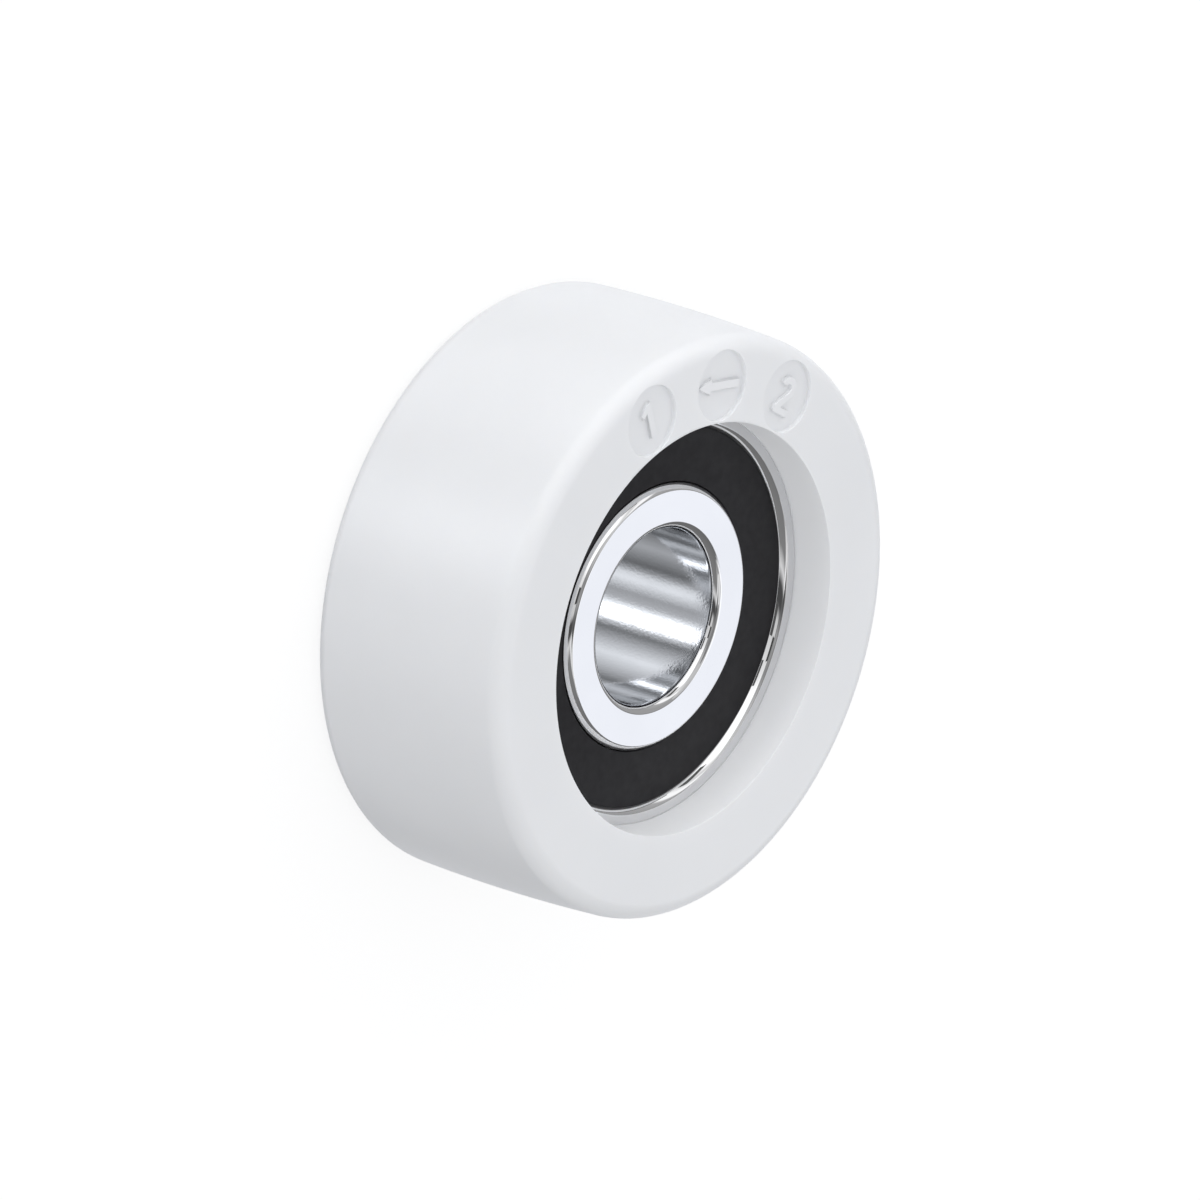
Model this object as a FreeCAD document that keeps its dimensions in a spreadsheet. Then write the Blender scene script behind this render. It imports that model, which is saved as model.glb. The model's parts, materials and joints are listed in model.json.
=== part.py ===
import FreeCAD, Part

import math
import os

import Sketcher

# Guide roller: a white polyamide roller moulded round a sealed deep groove ball bearing.
# Millimetres. The roller's axis is +Z, the face with the mould marks points up, the middle
# mark is towards +Y, and the origin is the centre of the bore at half the roller's width.

# Driving dimensions: name, value, what it measures
SIZES = [
    ("roller_diameter", 50.0, "tread, over its crown"),
    ("roller_width", 20.0, "roller, face to face"),
    ("crown_rise", 0.3, "tread, middle above its edges"),
    ("edge_radius", 1.4, "round where the tread meets a face"),
    ("pocket_edge_radius", 0.1, "round at the mouth of each face pocket"),
    ("mark_margin", 0.05, "flat left between a mould mark and the pocket's mouth"),
    ("mark_overhang", 0.45, "mould mark, past the flat into the round of the tread edge"),
    ("mark_depth", 0.4, "recess of a mould mark"),
    ("mark_pitch_angle", 25.0, "from one mould mark to the next, degrees"),
    ("mark_count", 3, "mould marks"),
    ("bore_diameter", 15.0, "axle bore of the inner ring"),
    ("bearing_diameter", 35.0, "outer ring, and its seat in the roller"),
    ("bearing_width", 12.4, "both rings, face to face"),
    ("bore_edge_radius", 0.7, "round at each end of the bore"),
    ("seat_corner", 0.1, "chamfer of the outer ring that the polyamide grips"),
    ("ring_edge_width", 0.5, "rounded bevel of the ring edges beside the seal, along the radius"),
    ("ring_edge_arc", 1.15, "radius of that bevel's round"),
    ("inner_land", 1.13, "inner ring's land, inside the pitch circle of the balls"),
    ("outer_land", 1.4, "outer ring's shoulder, outside the pitch circle"),
    ("mouth_wall", 1.37, "outer ring's wall round the seal"),
    ("ball_diameter", 5.95, "balls"),
    ("ball_count", 8, "balls, cage pockets and rivets"),
    ("ball_play", 0.03, "between a ball and either raceway"),
    ("raceway_share", 0.52, "raceway groove radius, in ball diameters"),
    ("cage_width", 1.7, "cage ribbon, along the radius"),
    ("cage_sheet", 0.6, "cage sheet thickness"),
    ("cage_play", 0.1, "between a ball and its cage pocket"),
    ("rivet_diameter", 0.7, "cage rivet shank"),
    ("rivet_head_diameter", 1.1, "cage rivet head"),
    ("rivet_head_height", 0.3, "cage rivet head"),
    ("seal_depth", 0.6, "seal, below the ring faces"),
    ("seal_thickness", 1.1, "seal at its rim"),
    ("seal_bead_width", 0.6, "bead that snaps into the outer ring, along the axis"),
    ("seal_bead_height", 0.3, "bead that snaps into the outer ring, along the radius"),
    ("lip_length", 1.1, "thin lip of the seal, along the radius"),
    ("lip_thickness", 0.45, "thin lip of the seal"),
    ("lip_play", 0.06, "between the lip and the inner ring"),
]

# Places worked out from the driving dimensions, as expressions
HALF_WIDTH = "sizes.roller_width / 2"
TREAD_EDGE = "(sizes.roller_diameter / 2 - sizes.crown_rise)"
TREAD_ARC = f"(({HALF_WIDTH})^2 + sizes.crown_rise^2) / (2 * sizes.crown_rise)"

SEAT = "sizes.bearing_diameter / 2"
GRIP = f"({SEAT} - sizes.seat_corner)"
RING_FACE = "sizes.bearing_width / 2"
GRIP_END = f"({RING_FACE} - sizes.seat_corner)"

FLAT_INNER = f"({SEAT} + sizes.pocket_edge_radius)"
FLAT_OUTER = f"({TREAD_EDGE} - sizes.edge_radius)"
MARK_INNER = f"({FLAT_INNER} + sizes.mark_margin)"
MARK_OUTER = f"({FLAT_OUTER} + sizes.mark_overhang)"
MARK_CIRCLE = f"(({MARK_INNER} + {MARK_OUTER}) / 2)"
MARK_RADIUS = f"({MARK_OUTER} - {MARK_INNER}) / 2"
MARK_SPREAD = "sizes.mark_pitch_angle * (sizes.mark_count - 1)"
MARK_START = f"(90 deg - {MARK_SPREAD} / 2 * 1 deg)"

BORE = "sizes.bore_diameter / 2"
PITCH = "((sizes.bore_diameter + sizes.bearing_diameter) / 4)"
INNER_LAND = f"({PITCH} - sizes.inner_land)"
INNER_FLAT = f"({INNER_LAND} - sizes.ring_edge_width)"
OUTER_LAND = f"({PITCH} + sizes.outer_land)"
MOUTH = f"({SEAT} - sizes.mouth_wall)"
OUTER_FLAT = f"({MOUTH} + sizes.ring_edge_width)"
EDGE_ARC = "sizes.ring_edge_arc"
RACEWAY = "sizes.raceway_share * sizes.ball_diameter"
BALL_REACH = "(sizes.ball_diameter / 2 + sizes.ball_play)"
INNER_RACEWAY_CENTRE = f"{PITCH} - {BALL_REACH} + {RACEWAY}"
OUTER_RACEWAY_CENTRE = f"{PITCH} + {BALL_REACH} - {RACEWAY}"

SEAL_FACE = f"({RING_FACE} - sizes.seal_depth)"
SEAL_SEAT = f"({SEAL_FACE} - sizes.seal_thickness)"
BEAD_TOP = f"({SEAL_SEAT} + sizes.seal_bead_width)"
BEAD = f"({MOUTH} + sizes.seal_bead_height)"
LIP = f"({INNER_LAND} + sizes.lip_play)"
LIP_ROOT = f"({LIP} + sizes.lip_length)"
LIP_BOTTOM = f"({SEAL_FACE} - sizes.lip_thickness)"

CAGE_INNER = f"({PITCH} - sizes.cage_width / 2)"
CAGE_OUTER = f"({PITCH} + sizes.cage_width / 2)"
POCKET = "(sizes.ball_diameter / 2 + sizes.cage_play)"
DOME = f"({POCKET} + sizes.cage_sheet)"
RIVET_ANGLE = "(180 deg / sizes.ball_count)"
RIVET_X = f"{PITCH} * cos({RIVET_ANGLE})"
RIVET_Y = f"{PITCH} * sin({RIVET_ANGLE})"
RIVET_TOP = "(sizes.cage_sheet + sizes.rivet_head_height)"
RIVET_DOME = "((sizes.rivet_head_diameter / 2)^2 + sizes.rivet_head_height^2) / (2 * sizes.rivet_head_height)"

FIT_TOLERANCE = 1e-4

doc = FreeCAD.newDocument("guide_roller")


def make_sheet():
    """The spreadsheet of driving dimensions, one named cell for each."""
    sheet = doc.addObject("Spreadsheet::Sheet", "sizes")
    for row, (name, value, measures) in enumerate(SIZES, start=1):
        sheet.set(f"A{row}", name)
        sheet.set(f"B{row}", str(value))
        sheet.set(f"C{row}", measures)
        sheet.setAlias(f"B{row}", name)
    doc.recompute()
    return sheet


sizes = make_sheet()


def value(expression):
    """The number that an expression gives for the sizes in the sheet."""
    result = sizes.evalExpression(expression)
    return float(getattr(result, "Value", result))


def make_body(label):
    """A new body, named after the piece that it models."""
    body = doc.addObject("PartDesign::Body", label)
    body.Label = label
    return body


def origin_part(body, role):
    """One of the body's own origin planes or axes."""
    return next(item for item in body.Origin.OriginFeatures if item.Role == role)


def add_sketch(body, name, plane="XZ_Plane"):
    """An empty sketch on one of the body's origin planes."""
    sketch = body.newObject("Sketcher::SketchObject", name)
    sketch.AttachmentSupport = (origin_part(body, plane), [""])
    sketch.MapMode = "FlatFace"
    return sketch


def hold(sketch, kind, geometry, expression):
    """Adds a dimension and binds it to an expression on the sheet."""
    index = sketch.addConstraint(Sketcher.Constraint(kind, *geometry, value(expression)))
    sketch.setExpression(f"Constraints[{index}]", expression)


def hold_point(sketch, edge, end, x, y):
    """Fixes one end or centre of an edge at expressions for x and y."""
    hold(sketch, "DistanceX", (-1, 1, edge, end), x)
    hold(sketch, "DistanceY", (-1, 1, edge, end), y)


def draw_outline(sketch, corners, arcs=None):
    """A closed outline, corners counter-clockwise; arcs gives the radius of each side that bulges out."""
    arcs = arcs or {}
    points = [FreeCAD.Vector(value(x), value(y), 0) for x, y in corners]
    for index, start in enumerate(points):
        end = points[(index + 1) % len(points)]
        if index in arcs:
            side = end - start
            radius = value(arcs[index])
            bulge = radius - math.sqrt(radius**2 - (side.Length / 2) ** 2)
            outwards = FreeCAD.Vector(side.y, -side.x, 0).normalize()
            sketch.addGeometry(Part.Arc(start, (start + end) / 2 + outwards * bulge, end))
        else:
            sketch.addGeometry(Part.LineSegment(start, end))
    for index, (x, y) in enumerate(corners):
        following = (index + 1) % len(points)
        sketch.addConstraint(Sketcher.Constraint("Coincident", index, 2, following, 1))
        hold_point(sketch, index, 1, x, y)
    for index, radius in arcs.items():
        hold(sketch, "Radius", (index,), radius)


def draw_circle(sketch, x, y, radius):
    """A circle with its centre at x, y."""
    normal = FreeCAD.Vector(0, 0, 1)
    edge = sketch.addGeometry(Part.Circle(FreeCAD.Vector(value(x), value(y), 0), normal, value(radius)))
    hold_point(sketch, edge, 3, x, y)
    hold(sketch, "Radius", (edge,), radius)


def revolve(body, sketch, kind="Revolution"):
    """Turns a sketch a full turn about its own upright axis: a Revolution adds, a Groove cuts."""
    feature = body.newObject(f"PartDesign::{kind}", f"{sketch.Name}_turned")
    feature.Profile = (sketch, [""])
    feature.ReferenceAxis = (sketch, ["V_Axis"])
    feature.Angle = 360
    doc.recompute()
    return feature


def pad(body, sketch, length):
    """Pads a sketch along +Z."""
    feature = body.newObject("PartDesign::Pad", f"{sketch.Name}_pad")
    feature.Profile = (sketch, [""])
    feature.setExpression("Length", length)
    doc.recompute()
    return feature


def cut_through(body, sketch):
    """Cuts a sketch through the whole body, both ways."""
    feature = body.newObject("PartDesign::Pocket", f"{sketch.Name}_cut")
    feature.Profile = (sketch, [""])
    feature.Type = "ThroughAll"
    feature.SideType = "Symmetric"
    doc.recompute()
    return feature


def repeat(body, feature, count, angle):
    """Repeats a feature about the roller's axis, over an angle in degrees."""
    pattern = body.newObject("PartDesign::PolarPattern", f"{feature.Name}_pattern")
    pattern.Originals = [feature]
    pattern.Axis = (origin_part(body, "Z_Axis"), [""])
    pattern.setExpression("Angle", angle)
    pattern.setExpression("Occurrences", count)
    body.Tip = pattern
    doc.recompute()
    return pattern


def ring_edges(feature, radius, heights):
    """Names of a feature's round edges about the roller's axis, at one radius and the given heights."""
    names = []
    for index, edge in enumerate(feature.Shape.Edges, start=1):
        if not isinstance(edge.Curve, Part.Circle):
            continue
        centre = edge.Curve.Center
        on_axis = math.hypot(centre.x, centre.y) < FIT_TOLERANCE
        right_size = abs(edge.Curve.Radius - radius) < FIT_TOLERANCE
        if on_axis and right_size and any(abs(centre.z - height) < FIT_TOLERANCE for height in heights):
            names.append(f"Edge{index}")
    return names


def round_edges(body, radius_at, heights, size, name):
    """Fillets the body's round edges at one radius, on both of the given heights."""
    tip = body.Tip
    fillet = body.newObject("PartDesign::Fillet", f"{body.Name}_{name}")
    fillet.Base = (tip, ring_edges(tip, value(radius_at), heights))
    fillet.setExpression("Radius", size)
    doc.recompute()
    return fillet


def both_sides(expression):
    """A height and its mirror image below the middle of the roller."""
    return (value(expression), -value(expression))


def make_roller_body():
    """Polyamide roller: crowned tread, a pocket in each face, and a seat that grips the outer ring."""
    body = make_body("roller_body")
    section = add_sketch(body, "roller_section")
    corners = [
        (SEAT, f"-{HALF_WIDTH}"),
        (TREAD_EDGE, f"-{HALF_WIDTH}"),
        (TREAD_EDGE, HALF_WIDTH),
        (SEAT, HALF_WIDTH),
        (SEAT, RING_FACE),
        (GRIP, RING_FACE),
        (SEAT, GRIP_END),
        (SEAT, f"-{GRIP_END}"),
        (GRIP, f"-{RING_FACE}"),
        (SEAT, f"-{RING_FACE}"),
    ]
    draw_outline(section, corners, arcs={1: TREAD_ARC})
    revolve(body, section)
    faces = both_sides(HALF_WIDTH)
    round_edges(body, TREAD_EDGE, faces, "sizes.edge_radius", "tread_edges")
    round_edges(body, SEAT, faces, "sizes.pocket_edge_radius", "pocket_mouths")

    mark = add_sketch(body, "mould_mark", "XY_Plane")
    mark.AttachmentOffset = FreeCAD.Placement(FreeCAD.Vector(0, 0, value(HALF_WIDTH)), FreeCAD.Rotation())
    mark.setExpression("AttachmentOffset.Base.z", HALF_WIDTH)
    draw_circle(
        mark,
        f"{MARK_CIRCLE} * cos({MARK_START})",
        f"{MARK_CIRCLE} * sin({MARK_START})",
        MARK_RADIUS,
    )
    recess = body.newObject("PartDesign::Pocket", "mould_mark_recess")
    recess.Profile = (mark, [""])
    recess.setExpression("Length", "sizes.mark_depth")
    doc.recompute()
    repeat(body, recess, "sizes.mark_count", MARK_SPREAD)
    return body


def make_outer_ring():
    """Outer ring: chamfered seat, raceway, and a bevelled mouth with a bead groove for each seal."""
    body = make_body("outer_ring")
    section = add_sketch(body, "outer_ring_section")
    front = [
        (SEAT, GRIP_END),
        (GRIP, RING_FACE),
        (OUTER_FLAT, RING_FACE),
        (MOUTH, SEAL_FACE),
        (MOUTH, BEAD_TOP),
        (BEAD, BEAD_TOP),
        (BEAD, SEAL_SEAT),
        (OUTER_LAND, SEAL_SEAT),
    ]
    back = [(x, f"-{y}") for x, y in reversed(front)]
    draw_outline(section, front + back, arcs={2: EDGE_ARC, 12: EDGE_ARC})
    revolve(body, section)
    raceway = add_sketch(body, "outer_raceway")
    draw_circle(raceway, OUTER_RACEWAY_CENTRE, "0", RACEWAY)
    revolve(body, raceway, "Groove")
    return body


def make_inner_ring():
    """Inner ring: axle bore, raceway and the lands that the seal lips run on."""
    body = make_body("inner_ring")
    section = add_sketch(body, "inner_ring_section")
    corners = [
        (BORE, f"-{RING_FACE}"),
        (INNER_FLAT, f"-{RING_FACE}"),
        (INNER_LAND, f"-{SEAL_FACE}"),
        (INNER_LAND, SEAL_FACE),
        (INNER_FLAT, RING_FACE),
        (BORE, RING_FACE),
    ]
    draw_outline(section, corners, arcs={1: EDGE_ARC, 3: EDGE_ARC})
    revolve(body, section)
    raceway = add_sketch(body, "inner_raceway")
    draw_circle(raceway, INNER_RACEWAY_CENTRE, "0", RACEWAY)
    revolve(body, raceway, "Groove")
    round_edges(body, BORE, both_sides(RING_FACE), "sizes.bore_edge_radius", "bore_edges")
    return body


def make_seal(label, side):
    """Rubber seal disc: bead in the outer ring, flat web, thin lip at the inner ring; side is "" or "-"."""
    body = make_body(label)
    section = add_sketch(body, f"{label}_section")
    corners = [
        (BEAD, SEAL_SEAT),
        (BEAD, BEAD_TOP),
        (MOUTH, BEAD_TOP),
        (MOUTH, SEAL_FACE),
        (LIP, SEAL_FACE),
        (LIP, LIP_BOTTOM),
        (LIP_ROOT, SEAL_SEAT),
    ]
    draw_outline(section, [(x, f"{side}{y}") for x, y in corners])
    revolve(body, section)
    return body


def make_cage_half(label, side):
    """Pressed cage half: flat ribbon with a spherical pocket over each ball; side is 1 or -1."""
    body = make_body(label)
    ribbon = add_sketch(body, f"{label}_ribbon", "XY_Plane")
    draw_circle(ribbon, "0", "0", CAGE_OUTER)
    draw_circle(ribbon, "0", "0", CAGE_INNER)
    sheet = pad(body, ribbon, "sizes.cage_sheet")
    sheet.Reversed = side < 0

    dome = body.newObject("PartDesign::AdditiveSphere", f"{label}_dome")
    dome.setExpression("Radius", DOME)
    dome.Angle1 = 0 if side > 0 else -90
    dome.Angle2 = 90 if side > 0 else 0
    dome.setExpression("Placement.Base.x", PITCH)
    doc.recompute()
    repeat(body, dome, "sizes.ball_count", "360")

    pocket = body.newObject("PartDesign::SubtractiveSphere", f"{label}_pocket")
    pocket.setExpression("Radius", POCKET)
    pocket.setExpression("Placement.Base.x", PITCH)
    doc.recompute()
    repeat(body, pocket, "sizes.ball_count", "360")

    outside = add_sketch(body, f"{label}_outside", "XY_Plane")
    draw_circle(outside, "0", "0", f"{PITCH} + 2 * {DOME}")
    draw_circle(outside, "0", "0", CAGE_OUTER)
    cut_through(body, outside)
    inside = add_sketch(body, f"{label}_inside", "XY_Plane")
    draw_circle(inside, "0", "0", CAGE_INNER)
    cut_through(body, inside)

    hole = add_sketch(body, f"{label}_rivet_hole", "XY_Plane")
    draw_circle(hole, RIVET_X, RIVET_Y, "sizes.rivet_diameter / 2")
    repeat(body, cut_through(body, hole), "sizes.ball_count", "360")
    return body


def make_rivets():
    """Rivets with domed heads that hold the cage halves together, one between each two pockets."""
    body = make_body("cage_rivets")
    body.AllowCompound = True
    section = add_sketch(body, "rivet_section")
    section.setExpression("AttachmentOffset.Base.x", RIVET_X)
    section.setExpression("AttachmentOffset.Base.z", f"-{RIVET_Y}")
    shank = "sizes.rivet_diameter / 2"
    head = "sizes.rivet_head_diameter / 2"
    corners = [
        ("0", f"-{RIVET_TOP}"),
        (head, "-sizes.cage_sheet"),
        (shank, "-sizes.cage_sheet"),
        (shank, "sizes.cage_sheet"),
        (head, "sizes.cage_sheet"),
        ("0", RIVET_TOP),
    ]
    draw_outline(section, corners, arcs={0: RIVET_DOME, 4: RIVET_DOME})
    repeat(body, revolve(body, section), "sizes.ball_count", "360")
    return body


def make_ball(number):
    """One ball, centred on the pitch circle."""
    ball = doc.addObject("Part::Sphere", f"ball_{number}")
    ball.Label = f"ball_{number}"
    angle = f"(360 deg * {number - 1} / sizes.ball_count)"
    ball.setExpression("Radius", "sizes.ball_diameter / 2")
    ball.setExpression("Placement.Base.x", f"{PITCH} * cos({angle})")
    ball.setExpression("Placement.Base.y", f"{PITCH} * sin({angle})")
    return ball


def check(pieces):
    """Stops before anything is written if an object failed or a piece isn't a sound solid."""
    failed = [item.Name for item in doc.Objects if {"Invalid", "Error"} & set(item.State)]
    if failed:
        raise RuntimeError(f"failed to build: {failed}")
    for piece in pieces:
        shape = piece.Shape
        if shape.isNull() or not shape.isValid() or not shape.Solids:
            raise RuntimeError(f"{piece.Label} is not a sound solid")


def main():
    """Builds every piece and writes one STEP file for each."""
    pieces = [
        make_roller_body(),
        make_outer_ring(),
        make_inner_ring(),
        make_seal("front_seal", ""),
        make_seal("back_seal", "-"),
        make_cage_half("cage_front", 1),
        make_cage_half("cage_back", -1),
        make_rivets(),
    ]
    pieces += [make_ball(number + 1) for number in range(int(value("sizes.ball_count")))]
    doc.recompute()
    check(pieces)
    os.makedirs("parts", exist_ok=True)
    for piece in pieces:
        piece.Shape.exportStep(f"parts/{piece.Label}.step")
        print(f"{piece.Label}: {len(piece.Shape.Solids)} solid(s), {piece.Shape.Volume:.2f} mm3")


main()
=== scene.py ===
"""Looks of a guide roller: a white polyamide roller moulded round a sealed ball bearing.

Lengths are in metres, in the roller's own frame. Its axis is +Z, the face with the mould marks points up,
and the middle mark lies towards +Y. A section is a closed outline of points (radius, height) in the
half-plane that is turned round the axis.
"""

from __future__ import annotations

import json
import logging
import math
from dataclasses import dataclass, replace
from enum import Enum
from typing import Sequence

import bmesh
import bpy
import numpy as np
from mathutils import Matrix, Vector


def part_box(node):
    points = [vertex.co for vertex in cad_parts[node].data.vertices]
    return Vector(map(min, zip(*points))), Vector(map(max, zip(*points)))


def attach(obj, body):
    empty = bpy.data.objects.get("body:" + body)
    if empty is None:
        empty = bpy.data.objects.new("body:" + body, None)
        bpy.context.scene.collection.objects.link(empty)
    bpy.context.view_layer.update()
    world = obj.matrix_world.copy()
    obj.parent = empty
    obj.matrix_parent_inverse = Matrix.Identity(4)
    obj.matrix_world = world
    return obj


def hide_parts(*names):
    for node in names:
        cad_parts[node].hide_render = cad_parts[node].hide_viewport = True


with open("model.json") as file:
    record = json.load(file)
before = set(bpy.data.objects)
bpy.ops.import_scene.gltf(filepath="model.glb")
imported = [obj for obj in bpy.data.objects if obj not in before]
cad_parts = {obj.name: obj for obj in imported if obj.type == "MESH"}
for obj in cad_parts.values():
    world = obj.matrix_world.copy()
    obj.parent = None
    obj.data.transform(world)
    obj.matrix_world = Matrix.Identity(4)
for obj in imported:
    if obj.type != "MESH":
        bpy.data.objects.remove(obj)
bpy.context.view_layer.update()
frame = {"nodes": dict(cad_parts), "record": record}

LOG = logging.getLogger("guide_roller")
MM = 0.001

# Meshes: steps of an arc and a bowed side, and how close a flat side's end rows and touching points lie
ARC_STEPS = 14
BOW_ROWS = 16
EDGE_HUG = 0.02 * MM
HUG_LIMIT = 0.25
WELD = 0.0002 * MM
TOUCH = 0.001 * MM

# Clearances of the seal's lip and of the light discs in the pockets
LIP_PLAY = 0.06 * MM
DISC_GAP = 0.05 * MM

# Finishes: reach and fineness of a noise, grains across a patch of gloss, and the look of worked steel
NOISE_LOW = 0.3
NOISE_HIGH = 0.7
NOISE_DETAIL = 3.0
GRAIN_DETAIL = 2.0
GLOSS_PATCH = 4.0
STEEL_CLOUDS = 140.0
LINE_SLANT = 0.83
QUARTER_TURN = 0.25

# Set: divisions of the cards, the floor and the light discs
CARD_ROWS = 17
CARD_COLUMNS = 73
FLOOR_RINGS = 24
FLOOR_STEPS = 64
FLOOR_EYE = 0.02
DISC_STEPS = 96

Socket = bpy.types.NodeSocket
Material = bpy.types.Material
Colour = tuple[float, float, float]
WHITE: Colour = (1.0, 1.0, 1.0)
GLOW_COLOUR: Colour = (1.0, 0.96, 0.9)


class Side(Enum):
    """The end of the roller that a piece belongs to, as the sign of its height."""

    FRONT = 1
    BACK = -1


class Slot(Enum):
    """The names of the record's material slots."""

    POLYAMIDE = "polyamide"
    RING = "ring_steel"
    SEAL = "seal_rubber"


class SignShape(Enum):
    """The generic signs that stand in the mould marks."""

    ARROW = "arrow"
    ONE = "one"
    TWO = "two"


@dataclass(frozen=True)
class Corner:
    """One corner of a section, and how the side after it is divided.

    Fields:
        r: radius of the corner.
        z: height of the corner.
        rounding: radius of the arc that rounds it, 0 for a sharp corner.
        rows: number of equal rows on the side that follows.
        bow: radius of the arc that the side bulges out on, 0 for a straight side.
    """

    r: float
    z: float
    rounding: float = 0.0
    rows: int = 1
    bow: float = 0.0


def unit(vector: np.ndarray) -> np.ndarray:
    """The same direction at length one."""
    return vector / np.linalg.norm(vector, axis=-1, keepdims=True)


def rotated(vectors: np.ndarray, angles: np.ndarray) -> np.ndarray:
    """Plane vectors turned anticlockwise.

    Args:
        vectors: array of shape (n, 2), or (1, 2) to turn one vector by every angle.
        angles: in radians, one for each turned vector.

    Returns:
        Array of shape (n, 2).
    """
    x, y = vectors.T
    turned = (x * np.cos(angles) - y * np.sin(angles), x * np.sin(angles) + y * np.cos(angles))
    return np.stack(turned, axis=-1)


def corner_points(side_in: np.ndarray, corner: Corner, side_out: np.ndarray) -> np.ndarray:
    """Points of one section corner.

    A rounded corner is the arc tangent to both its sides: its centre lies on their bisector, at the radius
    over the sine of half the corner's angle, and it turns through half a turn less that angle.

    Args:
        side_in: unit vector from the corner back along the side before it.
        corner: the corner itself.
        side_out: unit vector along the side after it.

    Returns:
        Array of points, from the side before to the side after.
    """
    here = np.array((corner.r, corner.z))
    if corner.rounding == 0:
        return here[None]
    half = 0.5 * np.arccos(np.clip(side_in @ side_out, -1, 1))
    centre = here + unit(side_in + side_out) * corner.rounding / np.sin(half)
    first = here + side_in * corner.rounding / np.tan(half) - centre
    last = here + side_out * corner.rounding / np.tan(half) - centre
    sense = np.sign(first[0] * last[1] - first[1] * last[0])
    turn = sense * np.linspace(0, np.pi - 2 * half, ARC_STEPS + 1)
    return centre + rotated(first[None], turn)


def side_points(start: np.ndarray, end: np.ndarray, rows: int) -> np.ndarray:
    """Inner points of a straight side: equal rows, and one point close to each end.

    The close points keep the shading of a flat side flat up to its edges.

    Args:
        start: first point of the side.
        end: last point of the side.
        rows: number of equal rows.

    Returns:
        Array of points between the two ends.
    """
    hug = min(EDGE_HUG / np.linalg.norm(end - start), HUG_LIMIT / rows)
    even = np.linspace(0, 1, rows + 1)[1:-1]
    share = np.concatenate(([hug], even, [1 - hug]))
    return start + share[:, None] * (end - start)


def bowed_points(start: np.ndarray, end: np.ndarray, rows: int, radius: float) -> np.ndarray:
    """Inner points of a side that bulges to its right, at equal angles on an arc of that radius.

    Args:
        start: first point of the side.
        end: last point of the side.
        rows: number of equal rows.
        radius: of the arc.

    Returns:
        Array of points between the two ends.
    """
    along = end - start
    length = np.linalg.norm(along)
    right = np.array((along[1], -along[0])) / length
    half = np.arcsin(length / (2 * radius))
    turn = np.linspace(-half, half, rows + 1)[1:-1, None]
    middle = (start + end) / 2 - right * radius * np.cos(half)
    return middle + radius * (np.sin(turn) * along / length + np.cos(turn) * right)


def mirrored(corners: Sequence[Corner]) -> list[Corner]:
    """The corners below the middle that mirror those above, in the order that goes on round the section.

    A bowed side belongs to the corner that now comes first on it.
    """
    bows = [corner.bow for corner in corners[-2::-1]] + [0.0]
    return [Corner(c.r, -c.z, c.rounding, c.rows, bow) for c, bow in zip(reversed(corners), bows)]


def rounded_section(corners: Sequence[Corner]) -> np.ndarray:
    """A closed section from its corners, anticlockwise, with arcs at the rounded ones and sides between.

    A bowed side leaves its first corner turned outwards by the angle whose sine is half its length over the
    radius of its arc, and meets its last corner turned inwards by as much.

    Args:
        corners: corners in order, the last joined to the first.

    Returns:
        Array of points (radius, height).
    """
    spots = np.array([(corner.r, corner.z) for corner in corners])
    sides = np.roll(spots, -1, axis=0) - spots
    bend_by = [1 / corner.bow if corner.bow else 0.0 for corner in corners]
    half = np.arcsin(np.linalg.norm(sides, axis=1) * bend_by / 2)
    leaving = unit(rotated(sides, -half))
    arriving = unit(rotated(sides, half))
    bends = [corner_points(*trio) for trio in zip(-np.roll(arriving, 1, axis=0), corners, leaving)]
    stretches = []
    for corner, bend, following in zip(corners, bends, bends[1:] + bends[:1]):
        ends = bend[-1], following[0]
        if corner.bow:
            stretches += [bend, bowed_points(*ends, BOW_ROWS, corner.bow)]
        else:
            stretches += [bend, side_points(*ends, corner.rows)]
    return np.concatenate(stretches)


def turned_grid(section: np.ndarray, steps: int) -> np.ndarray:
    """Grid of a section carried round the axis: point (row, step) is the row's point at angle step / steps.

    Args:
        section: points (radius, height), one for each row.
        steps: number of steps in the full turn.

    Returns:
        Array of shape (rows, steps, 3).
    """
    angle = 2 * np.pi * np.arange(steps) / steps
    r, z = section[:, :1], section[:, 1:]
    return np.stack((r * np.cos(angle), r * np.sin(angle), z + 0 * angle), axis=-1)


def grid_quads(rows: int, columns: int, closed_rows: bool) -> np.ndarray:
    """Four-sided faces of a grid whose columns close on themselves.

    Args:
        rows: number of rows of points.
        columns: number of columns of points.
        closed_rows: whether the last row joins the first.

    Returns:
        Array of shape (row gaps, columns, 4) of point numbers.
    """
    row = np.arange(rows if closed_rows else rows - 1)[:, None]
    column = np.arange(columns)[None]
    next_row = (row + 1) % rows
    next_column = (column + 1) % columns
    ring = (row * columns + column, row * columns + next_column)
    return np.stack((*ring, next_row * columns + next_column, next_row * columns + column), axis=-1)


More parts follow.
